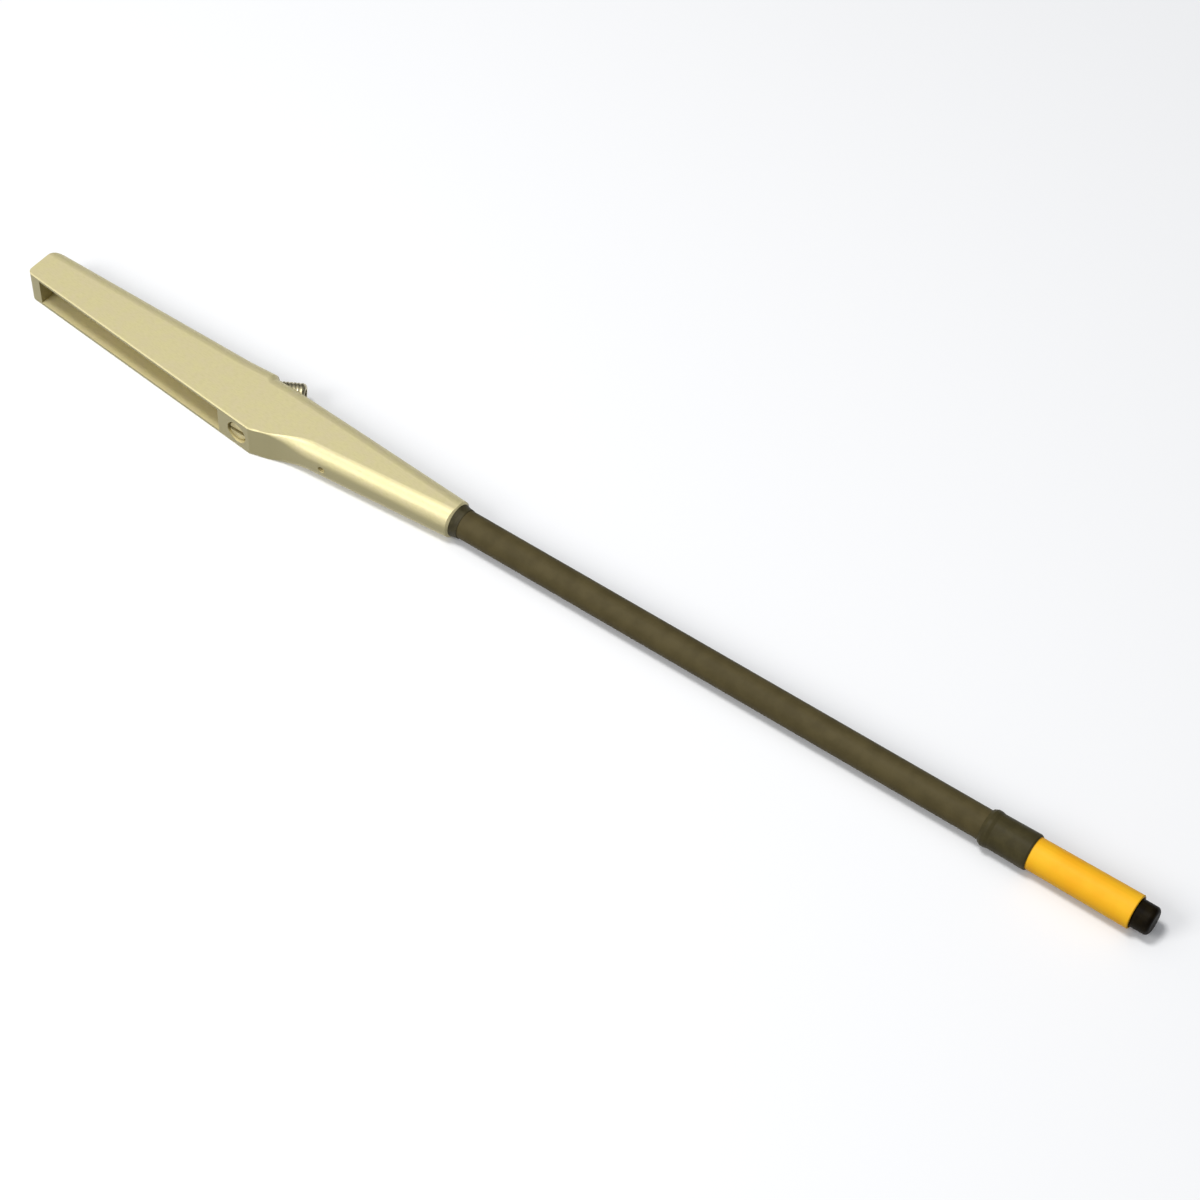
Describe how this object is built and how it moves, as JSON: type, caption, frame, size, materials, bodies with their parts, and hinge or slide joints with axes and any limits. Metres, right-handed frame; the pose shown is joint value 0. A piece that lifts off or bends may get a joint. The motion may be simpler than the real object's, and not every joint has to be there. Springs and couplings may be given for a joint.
{
  "type": "static discharger",
  "caption": "Aircraft static discharger: slotted metal holder that clamps on a mounting blade, with a resistive rod, an orange marker sleeve and a discharge tip.",
  "frame": {"origin": "on the holder's flat underside, below the rod's axis, where the slot ends", "axes": "+X along the rod towards the discharge tip, +Y towards the side where the clamp screw stands out, -Y towards the slot's open side, +Z through the thickness to the broad upper face"},
  "size_m": [0.2801, 0.0195, 0.0079],
  "materials": {
    "holder_metal": "brushed metal with a warm gold conversion coating",
    "screw_steel": "plated steel, threaded",
    "plated_screw": "yellow plated steel, slotted end",
    "rod_coating": "dark olive brown coated rod, soft sheen",
    "pin_metal": "plain pin end",
    "sealant": "dark olive brown sealant, satin",
    "boot_rubber": "black shrunk boot, satin",
    "marker_plastic": "orange sleeve, soft sheen",
    "tip_plastic": "black tip, satin"
  },
  "bodies": {
    "root": {"holder": "holder_metal", "clamp_screw": "screw_steel", "lock_screw": "plated_screw", "rod": "rod_coating", "retaining_pin": "pin_metal", "sealant_bead": "sealant", "boot": "boot_rubber", "marker_sleeve": "marker_plastic", "discharge_tip": "tip_plastic"}
  },
  "joints": []
}
